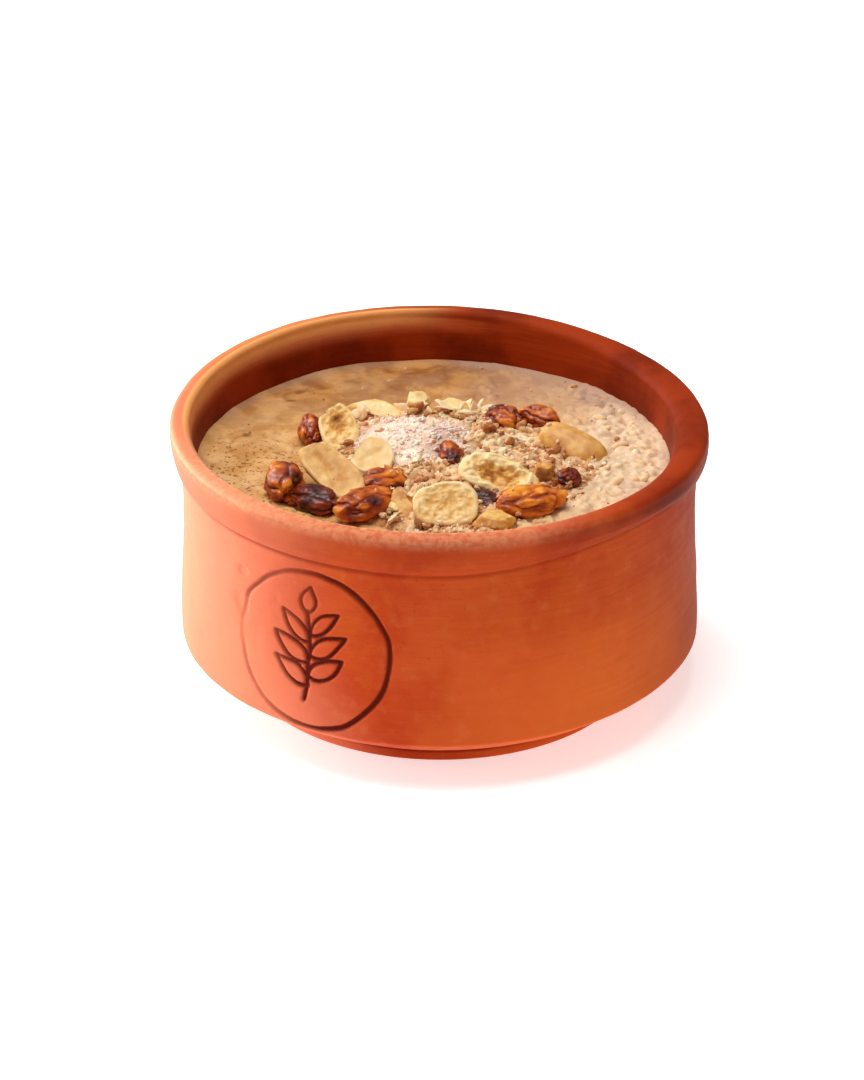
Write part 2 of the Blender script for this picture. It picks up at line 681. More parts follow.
def make_bowl():
    profile, angles = spaced(bowl_profile()), bowl_angles()
    rows, columns = len(profile), len(angles)
    tangent = unit(np.gradient(profile, axis=0))
    radius, height, out, up = (np.repeat(column, columns) for column in (*profile.T, *tangent.T))
    angle = np.tile(angles, rows)
    on_body = np.column_stack([around(angle) * radius[:, None], height])
    top_row = np.argmax(profile[:, 1])
    inner_row = top_row + np.argmax(profile[top_row:, 0] < LIP_INNER_RADIUS + 0.01)
    outside = np.repeat(np.interp(np.arange(rows), (top_row, inner_row), (1.0, 0.0)), columns)
    inside = np.repeat(np.arange(rows) > top_row, columns)

    groove = motif_cut(on_body, angle, height, outside)
    standing = step(0.4, 2.0, height) * step(2, 12, radius)
    relief = clay_relief(on_body, height, outside) * standing - GROOVE_DEPTH * groove
    radius += up * relief
    points = hand_thrown(radius, angle, height - out * relief, outside)
    looks = {"groove": 1.5 * groove, **clay_looks(on_body, radius, outside, inside)}
    looks = {key: np.append(values, (0, 0)) for key, values in looks.items()}
    points, faces = closed_grid(points.reshape(rows, columns, 3))
    return add_piece("bowl", points, faces, clay_material(), "terracotta", ["clay_bowl"], **looks)


# ---- the pudding


class Field:
    """A number at each cell of a fine square grid that covers the bowl's mouth."""

    CELL = 0.25
    REACH = 50.0

    def __init__(self, value=0.0):
        self.count = int(2 * self.REACH / self.CELL) + 1
        self.values = np.full((self.count, self.count), float(value))
        self.tints = np.zeros_like(self.values)

    def window(self, place, reach):
        """The slices round a place, and how far each cell there is from it in x and y."""
        middle = (np.asarray(place) + self.REACH) / self.CELL
        steps = reach / self.CELL
        low = np.clip(np.floor(middle - steps).astype(int), 0, self.count - 2)
        high = np.clip(np.ceil(middle + steps).astype(int) + 1, 1, self.count)
        x, y = (np.arange(low[i], high[i]) * self.CELL - self.REACH - place[i] for i in range(2))
        return (slice(low[0], high[0]), slice(low[1], high[1])), x[:, None], y[None, :]

    def read(self, places, what="values"):
        """The value at each place, blended between cells."""
        scaled = np.clip((np.asarray(places) + self.REACH) / self.CELL, 0, self.count - 1.001)
        cell = scaled.astype(int)
        t = scaled - cell
        total = 0
        for i, j in itertools.product((0, 1), repeat=2):
            share = np.abs(1 - i - t[:, 0]) * np.abs(1 - j - t[:, 1])
            total = total + share * getattr(self, what)[cell[:, 0] + i, cell[:, 1] + j]
        return total

    def raise_grain(self, place, turn, half_length, half_width, rise, tint=0.0):
        """Presses a grain's round back up from below, keeping what is higher already."""
        area, x, y = self.window(place, half_length + half_width)
        along = x * math.cos(turn) + y * math.sin(turn)
        side = y * math.cos(turn) - x * math.sin(turn)
        beyond = np.maximum(np.abs(along) - half_length, 0)
        off = (beyond**2 + side**2) / half_width**2
        back = rise * np.sqrt(np.clip(1 - off, 0, None))
        higher = back > self.values[area]
        self.values[area][higher] = back[higher]
        self.tints[area][higher] = tint


def grainy(places):
    """How grainy the pudding is at each place, from 0 on the smooth skin to 1 in the lumpy part."""
    x, y = np.asarray(places).T
    return clamp(step(6, 34, x - 0.25 * y + 7 * waves(places, 14, 40)) + 0.1)


RICE_LUMPS = 6000
RICE_REACH = 47


def rice_relief(rng):
    """The lumps that the grains of rice make in the pudding's skin, few of them on the smooth side."""
    field = Field()
    for _ in range(RICE_LUMPS):
        place = rng.uniform(-RICE_REACH - 1, RICE_REACH + 1, 2)
        grain = grainy([place])[0]
        if np.hypot(*place) > RICE_REACH or rng.random() > 0.05 + 0.95 * grain:
            continue
        rise = rng.uniform(0.35, 1.25) * (0.2 + 0.8 * grain)
        field.raise_grain(place, rng.uniform(0, math.pi), rng.uniform(0.1, 0.9), rng.uniform(0.6, 1.2), rise)
    return field


def disc_places(count):
    """A square grid of places bent into a round one of radius 1, with the order of its border."""
    u, v = np.meshgrid(np.linspace(-1, 1, count), np.linspace(-1, 1, count), indexing="ij")
    wide = np.abs(u) > np.abs(v)
    safe_u, safe_v = np.where(u == 0, 1, u), np.where(v == 0, 1, v)
    radius = np.where(wide, u, v)
    angle = np.where(wide, math.pi / 4 * v / safe_u, math.pi / 2 - math.pi / 4 * u / safe_v)
    places = np.stack([radius * np.cos(angle), radius * np.sin(angle)], axis=-1).reshape(-1, 2)
    index = np.arange(count * count).reshape(count, count)
    border = np.concatenate([index[:-1, 0], index[-1, :-1], index[:0:-1, -1], index[0, :0:-1]])
    a, b, c, d = index[:-1, :-1], index[1:, :-1], index[1:, 1:], index[:-1, 1:]
    return places, np.stack([a, b, c, d], axis=-1).reshape(-1, 4), border


def pudding_height(places, relief):
    radius = np.hypot(places[:, 0] - HOLLOW_SHIFT, places[:, 1])
    height = PUDDING_LEVEL + 0.25 * waves(places, 9, 50) + 0.05 * roughness(places, 2.4, 3, 51)
    climb = step(MOUTH_WALL_RADIUS - 3.2, MOUTH_WALL_RADIUS + 0.2, radius)
    height += 0.75 * climb**1.6 + 0.15 * climb * waves(places, 5, 55)
    return height + relief.read(places) * (1 - 0.7 * climb)


def filled(top, quads, border, rings, middle):
    """A closed body: a sheet on top, rings of points under its border, and the middle of its floor."""
    below = np.concatenate([*rings, [middle]])
    faces = quads.tolist()
    previous = border
    for i in range(len(rings)):
        current = len(top) + i * len(border) + np.arange(len(border))
        sides = [previous, current, np.roll(current, -1), np.roll(previous, -1)]
        faces += np.stack(sides, axis=-1).tolist()
        previous = current
    last = np.full(len(border), len(top) + len(below) - 1)
    faces += np.stack([previous, last, np.roll(previous, -1)], axis=-1).tolist()
    return np.concatenate([top, below]), faces


PUDDING_GRID, HEAP_GRID = 262, 240  # points across

# Places and half widths of the largest flecks of cinnamon skin
FLECKS = (((-30.2, 32.4), (1.6, 1.3)), ((-31.9, 28.0), (1.4, 0.9)), ((-40.4, 10.9), (1.3, 1.6)))


def pudding_looks(here):
    """The numbers that tell the pudding's colours at each place."""
    x, y = here.T
    clouds = waves(here, 8, 60)
    wall = MOUTH_WALL_RADIUS - np.hypot(x - HOLLOW_SHIFT, y)
    edge = step(3.0, 0.6, wall) * (0.5 + 0.3 * clouds)
    patches = step(0.25, 0.7, waves(here, 5, 62)) * step(9, 3.5, wall)
    rose = 0.5 * edge * step(-20, 20, y + 0.3 * x) + 0.3 * edge
    rose += 0.8 * patches * step(0, 20, x) + 0.55 * step(10, 34, y) * step(-4, 18, x)
    left = step(-4, -34, x) * step(24, -6, y)
    fleck = sum(step(1, 0.5, np.hypot(*((here - middle) / size).T)) for middle, size in FLECKS)
    return {
        "fleck": 0.85 * fleck,
        "cream": grainy(here) + 0.2 * waves(here, 4, 61),
        "baked": step(6, 36, y + 6 * clouds) * step(34, 4, x + 5 * clouds),
        "yellow": 0.8 * step(-14, -30, y + 4 * clouds) * step(8, 22, x),
        "rose": np.minimum(rose, 0.85),
        "spice": clamp(0.06 + 0.95 * left) * step(0.8, 2.5, wall),
    }


def make_pudding(relief):
    disc, quads, border = disc_places(PUDDING_GRID)
    places = disc * (MOUTH_WALL_RADIUS + INTO_WALL) + (HOLLOW_SHIFT, 0)
    top = np.column_stack([places, pudding_height(places, relief)])
    rim = disc[border]
    rings = []
    for radius, height in inner_profile(INTO_WALL)[1:-1:3]:
        middle = (hollow_shift(height), 0)
        rings.append(np.column_stack([rim * radius + middle, np.full(len(rim), height)]))
    points, faces = filled(top, quads, border, rings, (0, 0, FLOOR_HEIGHT - INTO_WALL))
    looks = pudding_looks(points[:, :2])
    looks["lump"] = step(0.1, 0.8, relief.read(points[:, :2]))
    return add_piece("pudding", points, faces, pudding_material(), "pudding", ["rice_pudding"], **looks)


# ---- the heap


def heap_outline(angle):
    return 1 + 0.07 * np.sin(3 * angle + 0.6) + 0.05 * np.sin(5 * angle + 2.1) + 0.03 * np.sin(9 * angle)


def heap_share(places):
    """How far out in the heap each place is: 0 in the middle and 1 at the edge."""
    x, y = ((np.asarray(places) - HEAP_MIDDLE) / HEAP_RADIUS).T
    return np.hypot(x, y) / heap_outline(np.arctan2(y, x))


def spot(places, middle, radius):
    """1 in the middle of a round spot, fading to 0 round it."""
    return hump(np.linalg.norm(np.asarray(places) - middle, axis=1), 0, radius)


def mound(places):
    """1 at the top of the powdery mound, fading to 0 round it."""
    return spot(places, MOUND_MIDDLE, MOUND_RADIUS)


def powdery(places):
    """1 where the mound's powder covers all, and 0 off it. Its edge is ragged."""
    return step(0.2, 0.5, mound(places) + 0.12 * waves(places, 3, 72))


def heap_height(places):
    share = clamp(heap_share(places))
    dome = 2.1 * (1 - share**2) ** 0.8 + 4.2 * mound(places)
    powder = powdery(places)
    clumps = 0.75 * roughness(places, 4.5, 2, 70) * (1 - share**4) * (1 - 0.6 * powder)
    return PUDDING_LEVEL + 0.2 + dome + clumps + 0.16 * roughness(places, 1.0, 2, 75) * powder


def clump_tint(places):
    """How much darker the crumbs are at each place than in the middle."""
    return 0.3 * waves(places, 3.4, 71)


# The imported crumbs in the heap's top: how many, and the least and greatest of their radii
CRUMB_SIZES = ((420, 0.8, 1.3), (1500, 0.45, 0.8), (1200, 0.3, 0.45))


def crumb_relief(rng):
    """Crumbs of three sizes, each a cluster of rounded lumps, pressed into one another."""
    field = Field()
    for count, least, most in CRUMB_SIZES:
        for _ in range(count):
            place = HEAP_MIDDLE + HEAP_RADIUS * rng.uniform(-1.1, 1.1, 2)
            size = rng.uniform(least, most)
            powder = powdery([place])[0]
            if size > 0.5 and rng.random() < powder:
                continue
            tint = rng.beta(2.0, 2.8) * (1 - 0.9 * powder)
            for _ in range(3):
                middle = place + rng.normal(0, 0.45 * size, 2)
                rise = rng.uniform(0.7, 1.1) * size * (1 - 0.5 * powder)
                field.raise_grain(middle, rng.uniform(0, math.pi), 0.35 * size, 0.75 * size, rise, tint)
    return field


def make_core(relief):
    disc, quads, border = disc_places(HEAP_GRID)
    share = np.hypot(*disc.T)
    places = HEAP_MIDDLE + disc * HEAP_RADIUS * heap_outline(np.arctan2(disc[:, 1], disc[:, 0]))[:, None]
    crumbs = relief.read(places) * (1 - 0.5 * share**3)
    top = np.column_stack([places, heap_height(places) + crumbs - 1.3 * step(0.9, 1.0, share)])
    bottom = top[border] - (0, 0, 0.8)
    points, faces = filled(top, quads, border, [bottom], (*HEAP_MIDDLE, PUDDING_LEVEL - 1.5))
    here = points[:, :2]
    gaps = clamp(1 - relief.read(here) / 0.45)
    tint = 0.13 + 0.6 * relief.read(here, "tints") + 0.55 * gaps + clump_tint(here)
    fluff = spot(here, FLUFF_MIDDLE, FLUFF_RADIUS) + 0.15 * waves(here, 2, 76)
    looks = {
        "tint": tint * (1 - 0.7 * mound(here)),
        "powder": 0.92 * powdery(here),
        "fluff": step(0.3, 0.7, fluff),
        "peak": step(0.3, 0.9, mound(here + PEAK_SHIFT) + 0.15 * waves(here, 3, 77)),
    }
    paint = crumb_material("crumb_bed", 0.1)
    return add_piece("crumb_bed", points, faces, paint, "crumbs", ["crumb_heap"], **looks)


# ---- toppings


LEANING = (0, -0.55, 0.84)
UP = (0, 0, 1)

# facing is the way the flat side looks, along is the way the long side points, and look is how brown
# a nut or how amber a raisin is, from 0 to 1. crust is how rough the flat side is. broken says where
# in its plane an end is snapped off: the way out to the break, and the share of the half size where
# it is. heart is how brown the middle of the flat side is.
Topping = namedtuple("Topping", "node seed size facing along look crust broken heart", defaults=(None,) * 3)


def toppings(prefix, first_seed, rows):
    return [Topping(prefix + row[0], first_seed + i, *row[1:]) for i, row in enumerate(rows)]


PEANUTS = toppings("peanut_half_", 1, [
    ("left", (15.8, 8.2, 4.0), LEANING, (1.0, -0.95, -0.6), 0.50, 0.05, (-0.9, 0.35, 0.86), 0.1),
    ("round", (8.9, 8.4, 3.4), LEANING, (1.0, 0.55, 0.35), 0.22, 0.05, (-0.5, 0.85, 0.68), 0),
    ("back", (11.0, 7.8, 4.2), LEANING, (0.35, -1.0, -0.6), 0.36, 0.6, (-0.9, -0.4, 0.75), 0.24),
    ("front", (12.8, 9.6, 4.2), (0, -0.62, 0.78), (1.0, 0.05, 0), 0.28, 0.5, (-0.2, 1, 0.9), 0.1),
    ("hollow", (16.2, 8.4, 4.2), LEANING, (1.0, -0.2, -0.1), 0.16, 1.0, (0.5, 0.85, 0.8), 0.56),
    ("right", (15.4, 7.8, 4.2), (0.1, 0.6, -0.8), (1.0, -0.8, -0.1), 0.24, 0.05, (-1, 0.3, 1.2), 0),
])
NUTS = toppings("nut_", 11, [
    ("piece_front", (7.4, 5.2, 4.6), LEANING, (0.25, -1.0, -0.4), 0.55),
    ("piece_low", (8.4, 5.6, 3.8), UP, (1.0, 0.15, 0), 0.40),
    ("piece_small", (4.8, 4.4, 4.4), UP, (1.0, 0.5, 0), 0.55),
    ("splinter_back", (13.0, 5.0, 3.2), (0, -0.35, 1), (1.0, -0.25, 0), 0.10),
    ("chip_back", (6.0, 4.6, 5.2), (0, -0.4, 1), (1.0, 0.3, 0.5), 0.05),
    ("chip_far", (7.0, 4.4, 3.6), (0, -0.3, 1), (1.0, -0.1, 0), 0.10),
])
RAISINS = toppings("raisin_", 21, [
    ("left", (12.4, 8.2, 7.2), UP, (0.15, -1.0, -0.1), 0.62),
    ("under_left", (13.0, 8.0, 5.2), UP, (1.0, -0.45, 0), 0.22),
    ("back_left", (10.6, 6.0, 5.6), UP, (0.1, -1.0, 0), 0.50),
    ("middle", (10.6, 8.0, 5.4), UP, (1.0, 0.5, 0), 0.50),
    ("front_left", (13.8, 8.2, 6.0), UP, (1.0, 0.75, 0.1), 0.58),
    ("front_right", (15.4, 8.6, 6.0), UP, (1.0, 0.25, 0), 0.78),
    ("dark", (7.6, 6.0, 4.2), UP, (1.0, -0.2, 0), 0.12),
    ("crown", (9.4, 6.0, 5.2), UP, (0.2, -1.0, 0), 0.42),
    ("far", (9.6, 6.6, 5.0), UP, (1.0, -0.7, 0), 0.62),
    ("far_right", (10.0, 6.0, 5.0), UP, (1.0, -0.5, 0), 0.62),
    ("right", (5.4, 5.0, 4.2), UP, (1.0, 0.4, 0), 0.30),
])


def turned_into_place(item, points):
    """Turns a topping the way it lies, with the middle of its box on its CAD node's."""
    z_axis, along = unit(item.facing), np.array(item.along)
    x_axis = unit(along - along @ z_axis * z_axis)
    points = points @ np.array((x_axis, np.cross(z_axis, x_axis), z_axis))
    middle = np.mean(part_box(item.node), axis=0) / MM
    return points + middle - (points.min(axis=0) + points.max(axis=0)) / 2


FACE_SHARE = 0.86  # of a peanut's half width, inside its rolled edge
EDGE_FALL = 0.6


def snap_off(item, points, seeded):
    """Presses a peanut's snapped end back to its break. Gives 1 for each point on the break."""
    way = unit(item.broken[:2])
    reach = item.broken[2] * np.linalg.norm(way * item.size[:2] / 2)
    beyond = np.clip(points[:, :2] @ way - reach + 0.25 * waves(seeded, 1.5, 8), 0, None)
    points[:, :2] -= beyond[:, None] * 0.93 * way
    return step(0.0, 0.3, beyond)


def half_peanut(item):
    """Half a peanut: a flat face with a furrow and a rolled edge, over a steep, rounded back."""
    length, width, thickness = item.size
    face = np.linspace(0.02, FACE_SHARE, 24)
    roll = np.radians(np.linspace(12, 78, 7))
    back = np.radians(np.linspace(0, 87, 24))
    share = np.concatenate([face, FACE_SHARE + (1 - FACE_SHARE) * np.sin(roll), np.cos(back) ** 0.5])
    fall = [0 * face, EDGE_FALL * (1 - np.cos(roll)), EDGE_FALL + (thickness - EDGE_FALL) * np.sin(back)]
    fall = np.concatenate(fall)
    angle = circle(110)
    roundness = 0.58 + 0.36 * (width / length) ** 2
    x = signed_power(np.cos(angle), roundness + 0.08)
    y = signed_power(np.sin(angle), roundness) * (1 + 0.08 * x)
    rings = np.zeros((len(share), len(angle), 3))
    rings[..., 0] = share[:, None] * x * length / 2
    rings[..., 1] = share[:, None] * y * width / 2
    rings[..., 2] = thickness / 2 - fall[:, None]
    points, faces = closed_grid(rings)
    out = np.append(np.repeat(share, len(angle)), [0, 0])
    on_face = np.append(np.repeat(np.arange(len(share)) < len(face), len(angle)), [True, False])
    side = step(0.55, 1.3, np.append(np.repeat(fall, len(angle)), [0, 1]))

    seeded = points + 100 * item.seed
    snapped = snap_off(item, points, seeded)
    inner = on_face * step(0.98, 0.75, out)
    furrow = hump(points[:, 1], 0, 0.5) * inner * step(0.8, 0.4, out)
    crumble = item.crust * inner * np.clip(roughness(seeded, 1.0, 3, 12) + 0.1, -1, 0.5)
    hollow = item.heart * inner * step(0.6, 0.25, out + 0.25 * waves(seeded, 2, 14))
    coarse = 0.07 + 0.12 * snapped + 0.14 * item.crust
    points += 0.3 * push(waves, seeded, 6) + coarse[:, None] * push(roughness, seeded, 1.3, 3, seed=5)
    points[:, 2] += 0.9 * crumble - 0.12 * furrow - 0.25 * inner * (1 - out) - 1.6 * hollow
    toast = item.look + 0.36 * side * (1 - 0.8 * snapped) + 0.10 * waves(seeded, 2.5, 9)
    toast -= 0.16 * step(0.78, 0.94, out) * (1 - side)
    return points, faces, toast + 0.12 * furrow - 0.5 * crumble - 0.1 * snapped + hollow


def ball(subdivisions):
    """A round template of radius 1, as points and faces."""
    shape = bmesh.new()
    bmesh.ops.create_icosphere(shape, subdivisions=subdivisions, radius=1)
    points = np.array([vert.co for vert in shape.verts])
    faces = [[vert.index for vert in face.verts] for face in shape.faces]
    shape.free()
    return points, faces


def flattened(points, ways, reach, share):
    """Points pressed to a flat side on each way, and 1 for each point that was pressed."""
    pressed = np.zeros(len(points))
    for way in ways:
        beyond = np.clip(points @ unit(way) - reach, 0, None)
        points = points - share * beyond[:, None] * unit(way)
        pressed = np.maximum(pressed, beyond > 0)
    return points, pressed


NUT_BREAKS = ((0.2, -0.1, 1.0), (-0.9, 0.5, 0.3), (0.7, 0.8, -0.2))
NOISE_SEED = 5  # without one, Blender's own noise changes with the clock


def nut_piece(item):
    """A broken lump of nut, snapped flat on three sides, with a grainy break."""
    points, faces = ball(5)
    shift = Vector((item.seed, 0, 0))
    points = points + [0.28 * noise.noise_vector(Vector(point) * 1.3 + shift) for point in points]
    points, pressed = flattened(points, NUT_BREAKS, 0.72, 0.9)
    points = points * item.size / 2
    seeded = points + 100 * item.seed
    swell = 0.22 * roughness(seeded, 1.5, 3, 3) + 0.10 * waves(seeded, 0.6, 7)
    toast = item.look + 0.25 * (1 - pressed) + 0.2 * waves(seeded, 2, 9)
    return points + unit(points) * swell[:, None], faces, toast


RAISIN_DENTS = ((0.1, -0.3, 1.0), (-0.5, -1.0, 0.3), (0.9, 0.8, 0.2))


def raisin(item):
    """A dried raisin: a dented lump, whose skin is drawn into wandering, mostly lengthwise creases."""
    steps, around_count = 50, 72
    polar = np.repeat(np.linspace(0.04, math.pi - 0.04, steps), around_count)
    turn = np.tile(circle(around_count), steps)
    way = np.column_stack([np.cos(polar), np.sin(polar) * np.cos(turn), np.sin(polar) * np.sin(turn)])
    folds = way * (0.95, 1, 1) + 7 * item.seed + 0.12 * push(waves, way + item.seed, 0.5)
    long_crease = clamp(1 - 2.3 * np.abs(waves(folds, 0.52, 1)))
    fine_crease = clamp(1 - 2.3 * np.abs(waves(folds, 0.25, 2)))
    reach = 1.06 + 0.2 * waves(way + 3 * item.seed, 1.1, 3) - 0.15 * long_crease**1.4 - 0.06 * fine_crease
    for dent in RAISIN_DENTS:
        reach -= 0.7 * np.clip(way @ unit(dent) - 0.75, 0, None)
    points = way * reach[:, None] * item.size / 2
    points, faces = closed_grid(points.reshape(steps, around_count, 3))
    points += 0.05 * roughness(points + 50 * item.seed, 0.9, 2, 4)[:, None]
    ridge = np.append(1 - long_crease - 0.3 * fine_crease, [0.5, 0.5])
    amber = item.look - 0.256 + 0.36 * ridge + 0.34 * waves(points + 9 * item.seed, 3.4, 6)
    return points, faces, amber


def make_toppings():
    """The peanuts, nut pieces and raisins, each in place of its own CAD node."""
    noise.seed_set(NOISE_SEED)
    nut_paint, raisin_paint = nut_material(), raisin_material()
    kinds = (
        (PEANUTS, half_peanut, nut_paint, "peanut", "toast"),
        (NUTS, nut_piece, nut_paint, "peanut", "toast"),
        (RAISINS, raisin, raisin_paint, "raisin", "amber"),
    )
    made = []
    for items, shaped, paint, slot, attribute in kinds:
        for item in items:
            points, faces, look = shaped(item)
            points = turned_into_place(item, points)
            name = item.node + "_look"
            made.append(add_piece(name, points, faces, paint, slot, [item.node], **{attribute: look}))
    return made


# ---- loose things


PILE_HEIGHT = 0.8


class Surface(Field):
    """The top of all that lies in the bowl so far. What is dropped on it adds to it."""

    def __init__(self):
        super().__init__(PUDDING_LEVEL - 2)
        self.topped = np.zeros(self.values.shape, bool)
        self.bare = None

    def lay(self, piece, is_topping):
        tree = BVHTree.FromObject(piece, bpy.context.evaluated_depsgraph_get())
        corners = np.array(piece.bound_box)[:, :2] / MM
        low, high = corners.min(axis=0), corners.max(axis=0)
        middle = (low + high) / 2
        area, x, y = self.window(middle, max(high - low) / 2)
        for i, j in itertools.product(range(len(x)), range(y.size)):
            start = ((middle[0] + x[i, 0]) * MM, (middle[1] + y[0, j]) * MM, 0.1)
            hit = tree.ray_cast(start, (0, 0, -1))[0]
            cell = (area[0].start + i, area[1].start + j)
            if hit is not None and hit.z / MM > self.values[cell]:
                self.values[cell] = hit.z / MM
                self.topped[cell] = is_topping

    def keep_low(self):
        """From now on, nothing comes to rest more than the pile's height above what lies here."""
        self.bare = self.values.copy()

    def on_topping(self, places):
        i, j = ((places + self.REACH) / self.CELL).round().astype(int).T
        return self.topped[i, j]

    def slope(self, place):
        """The way up from the surface, over about a millimetre."""
        offsets = np.array(((0.6, 0), (-0.6, 0), (0, 0.6), (0, -0.6)))
        east, west, north, south = self.read(place + offsets)
        return unit((west - east, south - north, 1.2))

    def drop(self, place, radius, thickness, sink):
        """Where the middle of a piece comes to rest. The surface then covers it."""
        area, x, y = self.window(place, radius)
        inside = x**2 + y**2 < radius**2
        here = self.values[area]
        lowest = min(here[inside].mean(), self.bare[area][inside].mean() + PILE_HEIGHT)
        rest = lowest + thickness * (0.5 - sink)
        cap = rest + thickness / 2 * np.sqrt(np.clip(1 - (x**2 + y**2) / radius**2, 0, None))
        self.values[area] = np.where(inside, np.maximum(here, cap), here)
        return rest


def random_places(rng, count, density):
    """Places in the bowl, kept as often as the density there says."""
    found = []
    while len(found) < count:
        tries = rng.uniform(-47, 47, (4000, 2))
        tries = tries[np.hypot(tries[:, 0] - HOLLOW_SHIFT, tries[:, 1]) < MOUTH_WALL_RADIUS - 1]
        found.extend(tries[rng.random(len(tries)) < density(tries)])
    return np.array(found[:count])


def frames(ways, rng, lean):
    """Axes for each piece: its own up is near the way given, and it is turned at random."""
    up = unit(ways + rng.normal(0, 1, ways.shape) * lean)
    side = unit(np.cross(up, rng.normal(0, 1, ways.shape)))
    return np.stack([side, np.cross(up, side), up], axis=1)


def scatter(surface, rng, template, places, sizes, kind):
    """Joined copies of a template, each of its own size and shape, dropped where it is to lie."""
    points, faces = template
    ways = np.array([surface.slope(place) for place in places])
    turns = frames(ways, rng, kind.lean)
    shifts = rng.uniform(0, 900, (len(places), 1, 3))
    seeds = (points + shifts).reshape(-1, 3)
    swell = 1 + kind.uneven * roughness(seeds, 1.1, 2, 3).reshape(len(places), -1, 1)
    shapes = np.einsum("nij,njk->nik", points * swell * sizes[:, None, :] / 2, turns)
    tall = np.ptp(shapes[..., 2], axis=1)
    across = np.abs(shapes[..., :2]).max(axis=(1, 2))
    rests = []
    for place, thickness, radius in zip(places, tall, across):
        rests.append(surface.drop(place, max(radius * 0.75, 0.3), thickness, kind.sink))
    shapes = shapes + np.column_stack([places, rests])[:, None, :]
    steps = np.arange(len(places))[:, None, None] * len(points)
    joined = (np.array(faces) + steps).reshape(-1, 3)
    return shapes.reshape(-1, 3), joined.tolist()


CRUMB_BREAKS = ((0.8, 0.5, 0.2), (-0.6, 0.3, 0.7), (0.1, -0.9, 0.4), (-0.2, 0.2, -1.0))


def angular(template):
    """A template with its ends snapped off, for crushed nuts."""
    points, faces = template
    return flattened(points, CRUMB_BREAKS, 0.7, 1.0)[0], faces


def rod(t, girth, angle, bend):
    """A bent stick along x in triangles, from its girth at each step and the angles round it."""
    rings = np.zeros((len(t), len(angle), 3))
    rings[..., 0] = t[:, None]
    rings[..., 1] = girth[:, None] * np.cos(angle) + bend * t[:, None] ** 2
    rings[..., 2] = girth[:, None] * np.sin(angle)
    points, faces = closed_grid(rings)
    return points, [[face[0], *pair] for face in faces for pair in zip(face[1:], face[2:])]


def shred():
    """A bent sliver, four-sided and pointed at its ends."""
    t = np.linspace(-1, 1, 7)
    return rod(t, np.sqrt(np.clip(1 - t**2, 0.04, 1)), circle(4, 0.4), 0.9)


def rice_grain():
    """A cooked grain of rice: long and round, a little narrower at one end."""
    t = np.linspace(-0.97, 0.97, 9)
    return rod(t, (1 - np.abs(t) ** 2.6) ** 0.5 * (1 - 0.12 * t), circle(10), 0.25)


def in_heap(places):
    return 1 - step(0.88, 1.02, heap_share(places))


def off_mound(places):
    return in_heap(places) * (1 - 0.94 * powdery(places))


def in_and_near_heap(places):
    return clamp(in_heap(places) * (1 - 0.85 * powdery(places)) + 0.006)


def on_mound(places):
    return 0.02 * in_heap(places) + 0.98 * powdery(places)


def on_right(places):
    x, y = places.T
    return step(14, 32, x - 0.4 * y) * step(47, 44, np.hypot(x, y))


def behind_heap(places):
    x, y = places.T
    ridge = hump(y, 18.5, 2.6) * step(-24, -18, x) * step(14, 6, x)
    front = hump(y, -28, 3.5) * step(-12, -6, x) * step(9, 3, x)
    return ridge + 0.5 * front


def on_left(places):
    x, y = places.T
    return 0.04 + 0.96 * step(-12, -38, x) * step(26, -2, y)


# size is the middle length in millimetres and shape is length, width and thickness against it,
# lean is how far a piece tips, sink is the share of it that lies below the surface, uneven is how
# much each differs from its template, and on_top is the share that may lie on a topping
Kind = namedtuple("Kind", "name template paint count where size shape spread lean sink uneven tints on_top")
LOOSE = [Kind(*row) for row in (
    ("rice_grains", "grain", "crumb", 40, on_right, 1.0, (3.0, 1.6, 1.4), 0.2, 0.2, 0.65, 0.2, (0.1, 0.4), 0),
    ("nut_flakes", "chunk", "coconut", 110, behind_heap, 1.0, (3.2, 2.0, 0.8),
     0.35, 0.42, 0.25, 0.7, (0.6, 1.0), 0),
    ("nut_crumbs", "chunk", "crumb", 270, off_mound, 1.3, (1.2, 1.0, 0.85),
     0.32, 1.2, 0.5, 0.75, (0.1, 0.6), 0.01),
    ("fine_crumbs", "bit", "crumb", 1500, in_and_near_heap, 0.75, (1.2, 1.0, 0.8),
     0.4, 1.2, 0.5, 0.6, (0.15, 0.75), 0.03),
    ("coconut_shreds", "strand", "coconut", 44, on_mound, 0.9, (2.2, 0.4, 0.3),
     0.3, 0.25, 0.3, 0.2, (0.0, 0.3), 0),
    ("coconut_powder", "dust", "coconut", 900, on_mound, 0.5, (1.2, 1.0, 0.8),
     0.35, 1.0, 0.6, 0.3, (0.0, 0.2), 0.04),
    ("raisin_bits", "chunk", "raisin", 34, off_mound, 1.5, (1.6, 1.1, 0.8),
     0.3, 0.7, 0.3, 0.6, (0.1, 0.6), 0),
    ("nut_skins", "bit", "spice", 30, off_mound, 1.1, (1.2, 0.8, 0.3), 0.35, 0.5, 0.1, 0.4, (0.3, 1.0), 0),
    ("cinnamon_specks", "dust", "spice", 280, on_left, 0.34, (1.3, 0.9, 0.35),
     0.4, 0.3, 0.5, 0.4, (0.2, 1.0), 0),
)]


